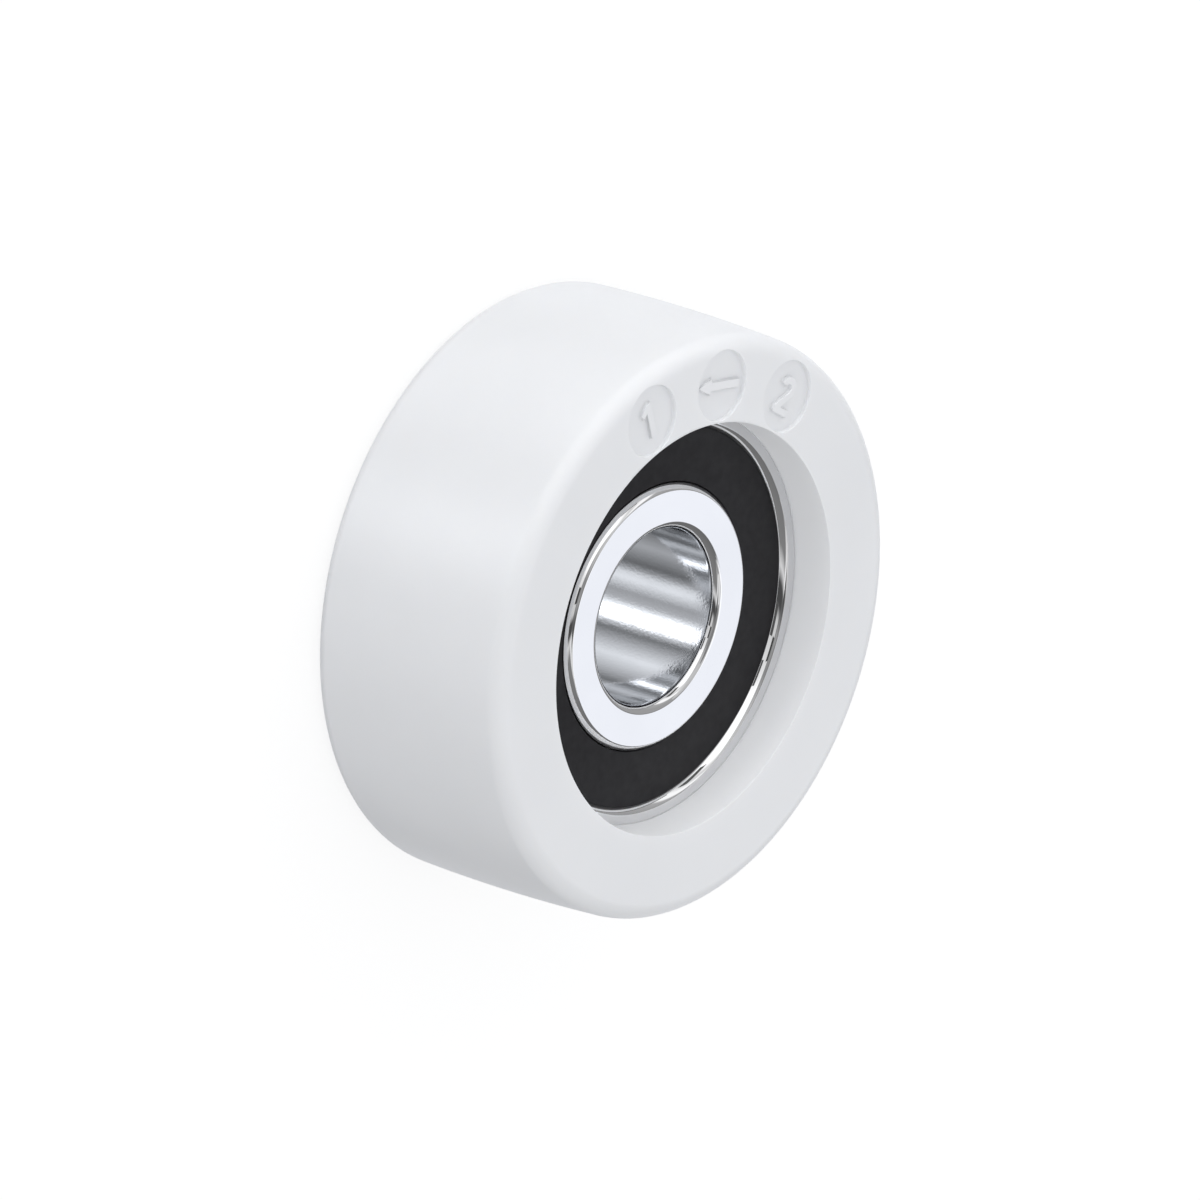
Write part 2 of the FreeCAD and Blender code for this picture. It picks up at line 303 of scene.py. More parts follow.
@dataclass
class Surface:
    """A mesh in the making.

    Fields:
        points: array of shape (n, 3).
        faces: lists of point numbers, one for each face.
        finish: number of the finish on each face, all the first where it is left out.
    """

    points: np.ndarray
    faces: list[list[int]]
    finish: np.ndarray | None = None

    def joined(self, other: Surface) -> Surface:
        """This surface and another as one, with the other's points numbered after its own.

        Args:
            other: the surface that is added.

        Returns:
            The joined surface, all in the first finish.
        """
        shift = len(self.points)
        moved = [[number + shift for number in face] for face in other.faces]
        return Surface(np.concatenate((self.points, other.points)), self.faces + moved)

    def to_piece(self, name: str, finishes: Sequence[Material]) -> bpy.types.Object:
        """Puts the surface into Blender as one object with welded seams and faces that point outwards.

        Args:
            name: name of the piece.
            finishes: materials, in the order that finish counts them.

        Returns:
            The new object, at the origin.
        """
        mesh = bpy.data.meshes.new(name)
        mesh.from_pydata(self.points.tolist(), [], self.faces)
        for material in finishes:
            mesh.materials.append(material)
        if self.finish is not None:
            mesh.polygons.foreach_set("material_index", self.finish.astype(np.int32))
        mesh.polygons.foreach_set("use_smooth", np.ones(len(mesh.polygons), bool))
        work = bmesh.new()
        work.from_mesh(mesh)
        bmesh.ops.remove_doubles(work, verts=work.verts, dist=WELD)
        bmesh.ops.recalc_face_normals(work, faces=work.faces)
        work.to_mesh(mesh)
        work.free()
        piece = bpy.data.objects.new(name, mesh)
        bpy.context.scene.collection.objects.link(piece)
        return piece


def turned_surface(section: np.ndarray, steps: int, row_finish: np.ndarray | None = None) -> Surface:
    """The closed ring that a section makes when it is carried round the axis.

    Args:
        section: closed section, points (radius, height).
        steps: number of steps in the full turn.
        row_finish: number of the finish on each row of faces.

    Returns:
        The surface.
    """
    points = turned_grid(section, steps).reshape(-1, 3)
    faces = grid_quads(len(section), steps, closed_rows=True).reshape(-1, 4)
    finish = None if row_finish is None else np.repeat(row_finish, steps)
    return Surface(points, faces.tolist(), finish)


def dress(piece: bpy.types.Object, body: str, node: str | None) -> bpy.types.Object:
    """Sets a finished piece on its body, in place of its CAD node.

    Args:
        piece: the new piece.
        body: body that it moves with.
        node: CAD node that it stands for, None where it is an addition.

    Returns:
        The piece.
    """
    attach(piece, body)
    if node is not None:
        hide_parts(node)
    LOG.info("%s: %d faces on %s", piece.name, len(piece.data.polygons), body)
    return piece


class NodeBoard:
    """A node tree with short calls that add and join its nodes."""

    def __init__(self, tree: bpy.types.NodeTree) -> None:
        """Clears the tree and keeps it."""
        tree.nodes.clear()
        self.tree = tree

    def add(self, kind: str, inputs: dict | None = None, **fields: object) -> bpy.types.Node:
        """Adds one node.

        Args:
            kind: the node's type.
            inputs: values, or output sockets to join, by the name or number of the input.
            fields: the node's own settings.

        Returns:
            The node.
        """
        node = self.tree.nodes.new(kind)
        for name, value in fields.items():
            setattr(node, name, value)
        for key, value in (inputs or {}).items():
            if isinstance(value, Socket):
                self.tree.links.new(value, node.inputs[key])
            else:
                node.inputs[key].default_value = value
        return node

    def compute(self, operation: str, *values: float | Socket) -> Socket:
        """The result of one operation on numbers or sockets, in their order."""
        return self.add("ShaderNodeMath", dict(enumerate(values)), operation=operation).outputs[0]

    def place(self) -> Socket:
        """The Object coordinates of the point that is shaded."""
        return self.add("ShaderNodeTexCoord").outputs["Object"]

    def noise(self, place: Socket, per_metre: float, detail: float = NOISE_DETAIL) -> Socket:
        """Cloudy noise with that many lumps to the metre, from 0 to 1."""
        inputs = {"Vector": place, "Scale": per_metre, "Detail": detail}
        return self.add("ShaderNodeTexNoise", inputs).outputs["Fac"]

    def lathe_lines(self, place: Socket, per_metre: float) -> Socket:
        """Fine lines left by turning, as noise along radius plus slant times height.

        The lines are rings on a flat face and run round the axis on a cylinder.

        Args:
            place: coordinates of the point.
            per_metre: lines to the metre.

        Returns:
            Socket of the line pattern, from 0 to 1.
        """
        flat = self.add("ShaderNodeVectorMath", {0: place, 1: (1.0, 1.0, 0.0)}, operation="MULTIPLY")
        radius = self.add("ShaderNodeVectorMath", {0: flat.outputs[0]}, operation="LENGTH")
        height = self.add("ShaderNodeSeparateXYZ", {0: place}).outputs["Z"]
        along = self.compute("MULTIPLY_ADD", height, LINE_SLANT, radius.outputs["Value"])
        inputs = {"W": along, "Scale": per_metre, "Detail": GRAIN_DETAIL}
        return self.add("ShaderNodeTexNoise", inputs, noise_dimensions="1D").outputs["Fac"]

    def spread(self, source: Socket, low: float, high: float) -> Socket:
        """A noise stretched from its usual reach to low and high."""
        reach = {"From Min": NOISE_LOW, "From Max": NOISE_HIGH, "To Min": low, "To Max": high}
        return self.add("ShaderNodeMapRange", {"Value": source, **reach}).outputs["Result"]

    def tint(self, source: Socket, low: Colour, high: Colour) -> Socket:
        """A colour between low and high, as a noise says.

        Args:
            source: the noise.
            low: colour at the low end of its usual reach.
            high: colour at the high end.

        Returns:
            The colour.
        """
        ramp = self.add("ShaderNodeValToRGB", {"Fac": source})
        ends = ramp.color_ramp.elements
        ends[0].position, ends[0].color = NOISE_LOW, (*low, 1.0)
        ends[1].position, ends[1].color = NOISE_HIGH, (*high, 1.0)
        return ramp.outputs["Color"]

    def bump(self, source: Socket, depth: float, under: Socket | None = None) -> Socket:
        """The surface direction over small hills.

        Args:
            source: height of the hills, from 0 to 1.
            depth: of the hills.
            under: surface direction that the hills stand on, if not the plain one.

        Returns:
            The surface direction.
        """
        inputs = {"Height": source, "Distance": depth}
        if under is not None:
            inputs["Normal"] = under
        return self.add("ShaderNodeBump", inputs).outputs["Normal"]

    def seen_directly(self) -> Socket:
        """Whether a ray shows what it meets, instead of lighting the object from it.

        Returns:
            One for camera, glossy and transmission rays, and zero for the others.
        """
        path = self.add("ShaderNodeLightPath").outputs
        most = self.compute("MAXIMUM", path["Is Camera Ray"], path["Is Glossy Ray"])
        return self.compute("MAXIMUM", most, path["Is Transmission Ray"])

    def output(self, shader: Socket, kind: str = "ShaderNodeOutputMaterial") -> None:
        """Joins the shader to the tree's output."""
        self.add(kind, {"Surface": shader})


def new_material(name: str) -> tuple[Material, NodeBoard]:
    """An empty material with its node board.

    Args:
        name: the material's name.

    Returns:
        The material and the board.
    """
    material = bpy.data.materials.new(name)
    material.use_nodes = True
    return material, NodeBoard(material.node_tree)


@dataclass(frozen=True)
class MouldedFinish:
    """Moulded polymer: a clouded colour, uneven gloss and a fine grain.

    Fields:
        name: the material's name.
        dark: darkest colour of the clouding.
        light: lightest colour of the clouding.
        gloss: lowest and highest roughness.
        clouds: clouds to the metre.
        grain: grains to the metre.
        grain_depth: depth of the grain.
        sheen: strength of its mirror light, 0.5 for a plain polymer.
        glow: share of light that passes under the surface.
        glow_reach: how far it passes.
    """

    name: str
    dark: Colour
    light: Colour
    gloss: tuple[float, float]
    clouds: float
    grain: float
    grain_depth: float
    sheen: float = 0.5
    glow: float = 0.0
    glow_reach: float = 1.0 * MM

    def material(self) -> Material:
        """Builds the finish.

        Returns:
            The material.
        """
        material, board = new_material(self.name)
        place = board.place()
        inputs = {
            "Base Color": board.tint(board.noise(place, self.clouds), self.dark, self.light),
            "Roughness": board.spread(board.noise(place, self.grain / GLOSS_PATCH), *self.gloss),
            "Normal": board.bump(board.noise(place, self.grain, GRAIN_DETAIL), self.grain_depth),
            "Specular IOR Level": self.sheen,
            "Subsurface Weight": self.glow,
            "Subsurface Radius": GLOW_COLOUR,
            "Subsurface Scale": self.glow_reach,
        }
        board.output(board.add("ShaderNodeBsdfPrincipled", inputs).outputs["BSDF"])
        return material


@dataclass(frozen=True)
class SteelFinish:
    """Bare steel worked on a lathe or grinder: a faint cloud of tone, and fine lines round the axis.

    Fields:
        name: the material's name.
        dark: darkest tone.
        light: lightest tone.
        gloss: lowest and highest roughness, which the lines vary.
        lines: lines to the metre.
        line_depth: depth of the lines.
        stretch: how far reflections are drawn out along the axis, from 0 to 1.
        grain: grains to the metre.
        grain_depth: depth of the grain.
    """

    name: str
    dark: Colour
    light: Colour
    gloss: tuple[float, float]
    lines: float
    line_depth: float
    stretch: float = 0.0
    grain: float = 2000.0
    grain_depth: float = 0.0

    def material(self) -> Material:
        """Builds the finish.

        Returns:
            The material.
        """
        material, board = new_material(self.name)
        place = board.place()
        lines = board.lathe_lines(place, self.lines)
        grain = board.bump(board.noise(place, self.grain), self.grain_depth)
        inputs = {
            "Base Color": board.tint(board.noise(place, STEEL_CLOUDS), self.dark, self.light),
            "Roughness": board.spread(lines, *self.gloss),
            "Normal": board.bump(lines, self.line_depth, grain),
            "Metallic": 1.0,
            "Anisotropic": self.stretch,
            "Anisotropic Rotation": QUARTER_TURN,
        }
        board.output(board.add("ShaderNodeBsdfPrincipled", inputs).outputs["BSDF"])
        return material


POLYAMIDE = MouldedFinish(
    name="white_polyamide",
    dark=(0.84, 0.85, 0.87),
    light=(0.87, 0.88, 0.90),
    gloss=(0.32, 0.40),
    clouds=70.0,
    grain=6000.0,
    grain_depth=0.0012 * MM,
    glow=0.30,
)
SIGN_POLYAMIDE = replace(POLYAMIDE, name="white_polyamide_sign", glow=0.0)
NITRILE = MouldedFinish(
    name="black_nitrile_rubber",
    dark=(0.0035, 0.0027, 0.0050),
    light=(0.0060, 0.0050, 0.0075),
    gloss=(0.45, 0.55),
    clouds=400.0,
    grain=5200.0,
    grain_depth=0.004 * MM,
    sheen=0.31,
)
GROUND_RING = SteelFinish(
    name="ground_ring_steel",
    dark=(0.765, 0.765, 0.775),
    light=(0.795, 0.795, 0.805),
    gloss=(0.015, 0.03),
    lines=9000.0,
    line_depth=0.00002 * MM,
)
HONED_BORE = SteelFinish(
    name="honed_bore_steel",
    dark=(0.58, 0.59, 0.605),
    light=(0.63, 0.64, 0.655),
    gloss=(0.06, 0.11),
    lines=12000.0,
    line_depth=0.00005 * MM,
    stretch=0.4,
    grain=4200.0,
    grain_depth=0.0065 * MM,
)
PRESSED_CAGE = SteelFinish(
    name="pressed_cage_steel",
    dark=(0.50, 0.50, 0.49),
    light=(0.60, 0.60, 0.59),
    gloss=(0.28, 0.42),
    lines=4000.0,
    line_depth=0.001 * MM,
)
LAPPED_BALL = SteelFinish(
    name="lapped_ball_steel",
    dark=(0.78, 0.79, 0.80),
    light=(0.84, 0.85, 0.86),
    gloss=(0.04, 0.07),
    lines=6000.0,
    line_depth=0.00001 * MM,
)


@dataclass
class RollerShell:
    """The moulded roller: crowned tread, a pocket in each face, and three round mould marks.

    Fields:
        tread_radius: over the crown.
        half_width: from the middle to either face.
        seat_radius: of the seat of the bearing.
        ring_face: height of the bearing's ring faces.
        crown_rise: of the tread's middle above its edges.
        edge_radius: round between tread and face.
        mouth_radius: round at the mouth of a pocket.
        seat_corner: chamfer of the bearing that the polyamide fills.
        mark_angles: where the marks lie round the axis, in degrees.
        mark_circle: radius of the circle that the marks lie on.
        mark_radius: of one mark.
        mark_depth: of one mark.
        mark_edge: round at the top edge of a mark.
        mark_fillet: round at the foot of a mark's wall.
        mark_arc_steps: steps of those two rounds.
        mark_rings: rings on a mark's floor, as shares of its radius.
        steps: number of steps in the full turn.
        cell_steps: number of steps that one mark's cell takes.
        cell_margin: face between a mark and the outer border of its cell.
        cell_lip: where a cell ends on the round of the pocket's mouth, as a share of that round.
        cell_rings: rings between a cell's border and its mark.
        cell_crowding: power that draws those rings towards the mark.
    """

    tread_radius: float
    half_width: float
    seat_radius: float
    ring_face: float
    crown_rise: float = 0.3 * MM
    edge_radius: float = 1.4 * MM
    mouth_radius: float = 0.04 * MM
    seat_corner: float = 0.1 * MM
    mark_angles: tuple[float, ...] = (65.0, 90.0, 115.0)
    mark_circle: float = 20.7 * MM
    mark_radius: float = 3.05 * MM
    mark_depth: float = 0.4 * MM
    mark_edge: float = 0.04 * MM
    mark_fillet: float = 0.12 * MM
    mark_arc_steps: int = 6
    mark_rings: tuple[float, ...] = (0.93, 0.75, 0.5, 0.25)
    steps: int = 576
    cell_steps: int = 40
    cell_margin: float = 0.35 * MM
    cell_lip: float = 0.3
    cell_rings: int = 8
    cell_crowding: float = 1.5

    def section(self) -> np.ndarray:
        """The roller's section, with the tread bowed outwards.

        The tread rises over its edge by the crown times one less the square of height over half width.

        Returns:
            Array of points (radius, height).
        """
        edge = self.tread_radius - self.crown_rise
        seat, grip = self.seat_radius, self.seat_radius - self.seat_corner
        grip_end = self.ring_face - self.seat_corner
        corners = [
            Corner(seat, -self.half_width, self.mouth_radius, rows=8),
            Corner(edge, -self.half_width, self.edge_radius, rows=16),
            Corner(edge, self.half_width, self.edge_radius, rows=16),
            Corner(seat, self.half_width, self.mouth_radius, rows=3),
            Corner(seat, self.ring_face),
            Corner(grip, self.ring_face),
            Corner(seat, grip_end),
            Corner(seat, -grip_end),
            Corner(grip, -self.ring_face),
            Corner(seat, -self.ring_face, rows=3),
        ]
        section = rounded_section(corners)
        outside = section[:, 0] > edge - self.edge_radius
        bow = self.crown_rise * (1 - (section[:, 1] / self.half_width) ** 2)
        section[:, 0] += np.where(outside, bow, 0.0)
        return section

    def face_rows(self, section: np.ndarray) -> tuple[int, int]:
        """The band of the front face that the marks lie in.

        The band runs from the round of the tread edge to the round of the pocket's mouth.

        Args:
            section: the roller's section.

        Returns:
            Numbers of the band's first and last row.
        """
        outer = self.mark_circle + self.mark_radius + self.cell_margin
        inner = self.seat_radius + self.cell_lip * self.mouth_radius
        front = np.where(section[:, 1] > self.half_width - self.edge_radius, section[:, 0], np.inf)
        return int(np.argmin(np.abs(front - outer))), int(np.argmin(np.abs(front - inner)))

    def mark_profile(self) -> tuple[np.ndarray, np.ndarray]:
        """Radius and depth down a mark: rounded edge, upright wall, rounded foot and flat floor.

        Returns:
            Two arrays, from the top edge to the last ring before the middle.
        """
        turn = np.linspace(0, np.pi / 2, self.mark_arc_steps + 1)
        top, floor = self.mark_edge, self.mark_fillet
        radius = [
            self.mark_radius + top - top * np.sin(turn),
            self.mark_radius - floor + floor * np.cos(turn),
            self.mark_radius * np.array(self.mark_rings),
        ]
        depth = [
            top - top * np.cos(turn),
            self.mark_depth - floor + floor * np.sin(turn),
            np.full(len(self.mark_rings), self.mark_depth),
        ]
        return np.concatenate(radius), np.concatenate(depth)

    def mark(self, section: np.ndarray, grid: np.ndarray, column: int) -> Surface:
        """One mark in its cell of the front face.

        Rays run from the mark's middle to every point of the cell's border. Outside the mark a ray follows
        the face, whose height comes from the section. Inside, it goes down the mark's profile, whose depth is
        scaled so that the floor is level also where the edge lies on the round of the tread.

        Args:
            section: the roller's section.
            grid: the turned section.
            column: the cell's first column.

        Returns:
            The cell's surface, which meets the grid round its border.
        """
        first, last = self.face_rows(section)
        span, drop = self.cell_steps, last - first
        across, down = np.arange(span), np.arange(drop)
        rows = np.concatenate((0 * across, down, 0 * across + drop, drop - down)) + first
        columns = np.concatenate((across, 0 * down + span, span - across, 0 * down)) + column
        border = grid[rows, columns % self.steps]

        middle = 2 * np.pi * (column + span / 2) / self.steps
        centre = self.mark_circle * np.array((np.cos(middle), np.sin(middle)))
        away = border[:, :2] - centre
        reach = np.linalg.norm(away, axis=1)
        ray = away / reach[:, None]

        rim = self.mark_radius + self.mark_edge
        share = np.linspace(1, 0, self.cell_rings + 1)[:-1, None] ** self.cell_crowding
        outside = centre + ray * (rim + share * (reach - rim))[..., None]
        face = section[first : last + 1][::-1]
        outside_z = np.interp(np.linalg.norm(outside, axis=-1), face[:, 0], face[:, 1])

        radius, depth = self.mark_profile()
        inside = centre + ray * radius[:, None, None]
        edge_z = np.interp(np.linalg.norm(inside[0], axis=-1), face[:, 0], face[:, 1])
        floor_z = self.half_width - self.mark_depth
        inside_z = edge_z - (edge_z - floor_z) * (depth / self.mark_depth)[:, None]

        plan = np.concatenate((outside, inside))
        height = np.concatenate((outside_z, inside_z))
        rings = np.concatenate((plan, height[..., None]), axis=-1)
        count, around = rings.shape[:2]
        points = np.concatenate((rings.reshape(-1, 3), [[*centre, floor_z]]))
        quads = grid_quads(count, around, closed_rows=False).reshape(-1, 4)
        start = (count - 1) * around + np.arange(around)
        fan = np.stack((start, np.roll(start, -1), np.full(around, count * around)), axis=-1)
        return Surface(points, quads.tolist() + fan.tolist())

    def surface(self) -> Surface:
        """The whole shell: the turned section, with a cell cut out and filled for each mark.

        Returns:
            The surface, with only the points that its faces use.
        """
        section = self.section()
        grid = turned_grid(section, self.steps)
        first, last = self.face_rows(section)
        keep = np.ones((len(section), self.steps), bool)
        starts = [round(angle / 360 * self.steps - self.cell_steps / 2) for angle in self.mark_angles]
        for start in starts:
            keep[first:last, start : start + self.cell_steps] = False
        quads = grid_quads(len(section), self.steps, closed_rows=True)[keep]
        shell = Surface(grid.reshape(-1, 3), quads.tolist())
        for start in starts:
            shell = shell.joined(self.mark(section, grid, start))
        used = np.unique(np.concatenate([np.ravel(face) for face in shell.faces]))
        number = np.zeros(len(shell.points), int)
        number[used] = np.arange(len(used))
        faces = [number[face].tolist() for face in shell.faces]
        return Surface(shell.points[used], faces)

    def build(self, finish: Material) -> None:
        """Makes the shell in place of its CAD solid."""
        piece = self.surface().to_piece("polyamide_roller", [finish])
        dress(piece, "roller", "roller_body")


@dataclass
class RaisedSign:
    """A plain sign that stands up from the floor of a mould mark.

    Fields:
        name: the piece's name.
        shape: which sign it is.
        angle: where it lies round the axis, in degrees.
        circle: radius of the circle that the marks lie on.
        floor: height of the mark's floor.
        rise: height of the sign above the floor.
        sink: how far its foot goes into the floor.
        flare: how far its foot spreads outside its outline.
        flare_bend: share of the flare that is left where its curve is steepest.
        edge: round of its top edge.
        edge_steps: steps of that round.
        inset: from that round to the last ring on the top.
    """

    name: str
    shape: SignShape
    angle: float
    circle: float
    floor: float
    rise: float = 0.28 * MM
    sink: float = 0.03 * MM
    flare: float = 0.08 * MM
    flare_bend: float = 0.3
    edge: float = 0.08 * MM
    edge_steps: int = 5
    inset: float = 0.01 * MM

    def outline(self) -> np.ndarray:
        """The sign's outline.

        The arrow is a shaft with a three-cornered head. The one is a stem with a slanted flag. The two has
        a bow between two arcs about one centre, a slanted neck and a straight foot.

        Returns:
            Array of points in millimetres about the mark's middle, anticlockwise.
        """
        if self.shape is SignShape.ARROW:
            shaft, head = 0.37, 0.72
            back = [(2.37, -shaft), (2.37, shaft)]
            front = [(-1.25, shaft), (-1.25, head), (-2.92, 0.0), (-1.25, -head), (-1.25, -shaft)]
            return np.array(back + front)
        if self.shape is SignShape.ONE:
            right = [(0.40, -1.62), (0.40, 1.62)]
            left = [(-0.10, 1.62), (-0.98, 0.93), (-0.69, 0.48), (-0.28, 0.78), (-0.28, -1.62)]
            return np.array(right + left)
        outer, inner = 0.98, 0.36
        turn = np.radians(np.linspace(-38, 168, 25))
        bow = np.stack((np.cos(turn), np.sin(turn)), axis=-1)
        top = np.array((0.0, 0.66))
        foot = np.array([(-1.03, -1.11), (-1.03, -1.62), (1.03, -1.62), (1.03, -1.00), (-0.05, -1.00)])
        return np.concatenate((foot, top + outer * bow, (top + inner * bow)[::-1]))

    def surface(self) -> Surface:
        """The sign as rings of its outline, drawn in by the mitre of its corners and lifted.

        Each corner moves along the sum of its sides' outward directions over one plus their dot product,
        which keeps the sides parallel. The rings give a flared foot, an upright wall and a rounded top edge.

        Returns:
            The surface, closed above and below.
        """
        outline = self.outline() * MM
        side = unit(np.roll(outline, -1, axis=0) - outline)
        outward = np.stack((side[:, 1], -side[:, 0]), axis=-1)
        previous = np.roll(outward, 1, axis=0)
        mitre = (outward + previous) / (1 + np.sum(outward * previous, axis=1, keepdims=True))

        turn = np.linspace(0, np.pi / 2, self.edge_steps + 1)
        foot = self.flare * np.array((1.0, 1.0, self.flare_bend, 0.0))
        draw = np.concatenate((foot, self.edge * (np.cos(turn) - 1), [-self.edge - self.inset]))
        foot_lift = np.array((-self.sink, 0.0, self.flare_bend * self.flare, self.flare))
        lift = np.concatenate((foot_lift, self.rise - self.edge * (1 - np.sin(turn)), [self.rise]))
        flat = outline + draw[:, None, None] * mitre

        turn_by = math.radians(self.angle)
        tangent = np.array((math.sin(turn_by), -math.cos(turn_by)))
        radial = np.array((math.cos(turn_by), math.sin(turn_by)))
        plan = flat[..., :1] * tangent + (self.circle + flat[..., 1:]) * radial
        height = np.broadcast_to((self.floor + lift)[:, None, None], (*plan.shape[:2], 1))
        rings = np.concatenate((plan, height), axis=-1)
        count, around = rings.shape[:2]
        quads = grid_quads(count, around, closed_rows=False).reshape(-1, 4).tolist()
        caps = [list(range(around)), list(range((count - 1) * around, count * around))]
        return Surface(rings.reshape(-1, 3), quads + caps)

    def build(self, finish: Material) -> None:
        """Makes the sign on the roller."""
        dress(self.surface().to_piece(self.name, [finish]), "roller", None)


@dataclass
class Bearing:
    """The ball bearing: two ground rings and two rubber seals round the CAD balls and cage.

    Fields:
        bore_radius: of the axle bore.
        seat_radius: of the outer ring.
        face: height of the ring faces.
        land_radius: outside of the inner ring.
        seal_edge: radius of the lips' inner edge.
        pitch_radius: of the circle that the balls run on.
        ball_radius: of one ball.
        bore_edge: round at each end of the bore.
        edge_width: of the rounded bevel of the ring edges beside a seal, which ends at the seal.
        edge_arc: radius of that bevel's round.
        edge_corner: round between that bevel and the ring face.
        seat_corner: chamfer of the outer ring.
        mouth_wall: outer ring's wall round a seal.
        shoulder: outer ring's land, outside the pitch circle.
        groove_radius: of the raceway grooves.
        ball_play: between a ball and either raceway.
        seal_depth: of a seal below the ring face.
        seal_thickness: at the rim.
        bead_width: of the bead that snaps into the outer ring, along the axis.
        bead_height: of the bead, along the radius.
        lip_length: of the thin lip, along the radius.
        lip_thickness: of the thin lip.
        seal_round: round of the bead's and the lip's corners.
        rim_round: round where a seal's face meets the outer ring.
        heel_round: round where the lip joins the web.
        steps: number of steps in the full turn.
    """

    bore_radius: float
    seat_radius: float
    face: float
    land_radius: float
    seal_edge: float
    pitch_radius: float
    ball_radius: float
    bore_edge: float = 0.76 * MM
    edge_width: float = 0.5 * MM
    edge_arc: float = 1.15 * MM
    edge_corner: float = 0.25 * MM
    seat_corner: float = 0.1 * MM
    mouth_wall: float = 1.37 * MM
    shoulder: float = 1.4 * MM
    groove_radius: float = 3.094 * MM
    ball_play: float = 0.03 * MM
    seal_depth: float = 0.6 * MM
    seal_thickness: float = 1.1 * MM
    bead_width: float = 0.6 * MM
    bead_height: float = 0.3 * MM
    lip_length: float = 1.1 * MM
    lip_thickness: float = 0.45 * MM
    seal_round: float = 0.08 * MM
    rim_round: float = 0.04 * MM
    heel_round: float = 0.2 * MM
    steps: int = 360

    def seal_seat(self) -> tuple[float, float, float, float, float]:
        """Where a front seal sits.

        Returns:
            Radius of the outer ring's mouth and of the bead, then height of the seal's rim, of the bead's
            top and of the seal's floor.
        """
        mouth = self.seat_radius - self.mouth_wall
        rim = self.face - self.seal_depth
        floor = rim - self.seal_thickness
        return mouth, mouth + self.bead_height, rim, floor + self.bead_width, floor

    def grooved(self, section: np.ndarray, land: float, away: int) -> np.ndarray:
        """A ring's section with the raceway cut in where its circle lies deeper than the land.

        Args:
            section: the ring's section with a plain land.
            land: radius of that land.
            away: 1 for a ring outside the balls, -1 for one inside them.

        Returns:
            Array of points (radius, height).
        """
        r, z = section.T
        centre = self.pitch_radius + away * (self.ball_radius + self.ball_play - self.groove_radius)
        groove = centre + away * np.sqrt(np.maximum(self.groove_radius**2 - z**2, 0))
        deeper = away * np.maximum(away * r, away * groove)
        on_land = np.abs(r - land) < TOUCH
        return np.stack((np.where(on_land, deeper, r), z), axis=-1)

    def inner_ring(self) -> np.ndarray:
        """Section of the inner ring.

        Returns:
            Array of points (radius, height).
        """
        flat = self.land_radius - self.edge_width
        rim = self.face - self.seal_depth
        corners = [
            Corner(self.bore_radius, -self.face, self.bore_edge, rows=2),
            Corner(flat, -self.face, self.edge_corner, bow=self.edge_arc),
            Corner(self.land_radius, -rim, rows=48),
            Corner(self.land_radius, rim, bow=self.edge_arc),
            Corner(flat, self.face, self.edge_corner, rows=2),
            Corner(self.bore_radius, self.face, self.bore_edge, rows=12),
        ]
        return self.grooved(rounded_section(corners), self.land_radius, -1)

    def outer_ring(self) -> np.ndarray:
        """Section of the outer ring.

        Returns:
            Array of points (radius, height).
        """
        mouth, bead, rim, bead_top, floor = self.seal_seat()
        land = self.pitch_radius + self.shoulder
        front = [
            Corner(self.seat_radius, self.face - self.seat_corner),
            Corner(self.seat_radius - self.seat_corner, self.face, rows=2),
            Corner(mouth + self.edge_width, self.face, self.edge_corner, bow=self.edge_arc),
            Corner(mouth, rim),
            Corner(mouth, bead_top),
            Corner(bead, bead_top),
            Corner(bead, floor),
            Corner(land, floor, rows=44),
        ]
        return self.grooved(rounded_section(front + mirrored(front)), land, 1)

    def seal(self, side: Side) -> np.ndarray:
        """Section of a seal: a bead in the outer ring, a flat web and a thin lip.

        Args:
            side: end of the roller that it closes.

        Returns:
            Array of points (radius, height).
        """
        mouth, bead, rim, bead_top, floor = self.seal_seat()
        corners = [
            Corner(bead, floor, self.seal_round, rows=2),
            Corner(bead, bead_top, self.seal_round, rows=2),
            Corner(mouth, bead_top, rows=2),
            Corner(mouth, rim, self.rim_round, rows=6),
            Corner(self.seal_edge, rim, self.seal_round, rows=2),
            Corner(self.seal_edge, rim - self.lip_thickness, self.seal_round, rows=2),
            Corner(self.seal_edge + self.lip_length, floor, self.heel_round, rows=3),
        ]
        return rounded_section(corners) * (1, side.value)

    def build(self) -> None:
        """Makes the rings and seals in place of their CAD solids, and dresses the balls and the cage."""
        ground = GROUND_RING.material()
        section = self.inner_ring()
        following = np.roll(section, -1, axis=0)
        reach = np.maximum(section[:, 0], following[:, 0])
        in_bore = reach < self.bore_radius + TOUCH
        ring = turned_surface(section, self.steps, in_bore)
        piece = ring.to_piece("bearing_inner_ring", [ground, HONED_BORE.material()])
        dress(piece, "inner_ring", "inner_ring")

        piece = turned_surface(self.outer_ring(), self.steps).to_piece("bearing_outer_ring", [ground])
        dress(piece, "roller", "outer_ring")

        rubber = NITRILE.material()
        for side in Side:
            name = f"{side.name.lower()}_seal"
            piece = turned_surface(self.seal(side), self.steps).to_piece(f"rubber_{name}", [rubber])
            dress(piece, "roller", name)

        cage, ball = PRESSED_CAGE.material(), LAPPED_BALL.material()
        for name, node in frame["nodes"].items():
            if name.startswith(("cage_", "ball_")):
                node.data.materials.clear()
                node.data.materials.append(cage if name.startswith("cage_") else ball)
                LOG.info("%s: CAD solid with its own finish", name)


def direction(azimuth: float, elevation: float) -> Vector:
    """Unit vector at an azimuth from +X towards +Y and an elevation above the floor, in degrees."""
    around, up = math.radians(azimuth), math.radians(elevation)
    return Vector((math.cos(up) * math.cos(around), math.cos(up) * math.sin(around), math.sin(up)))


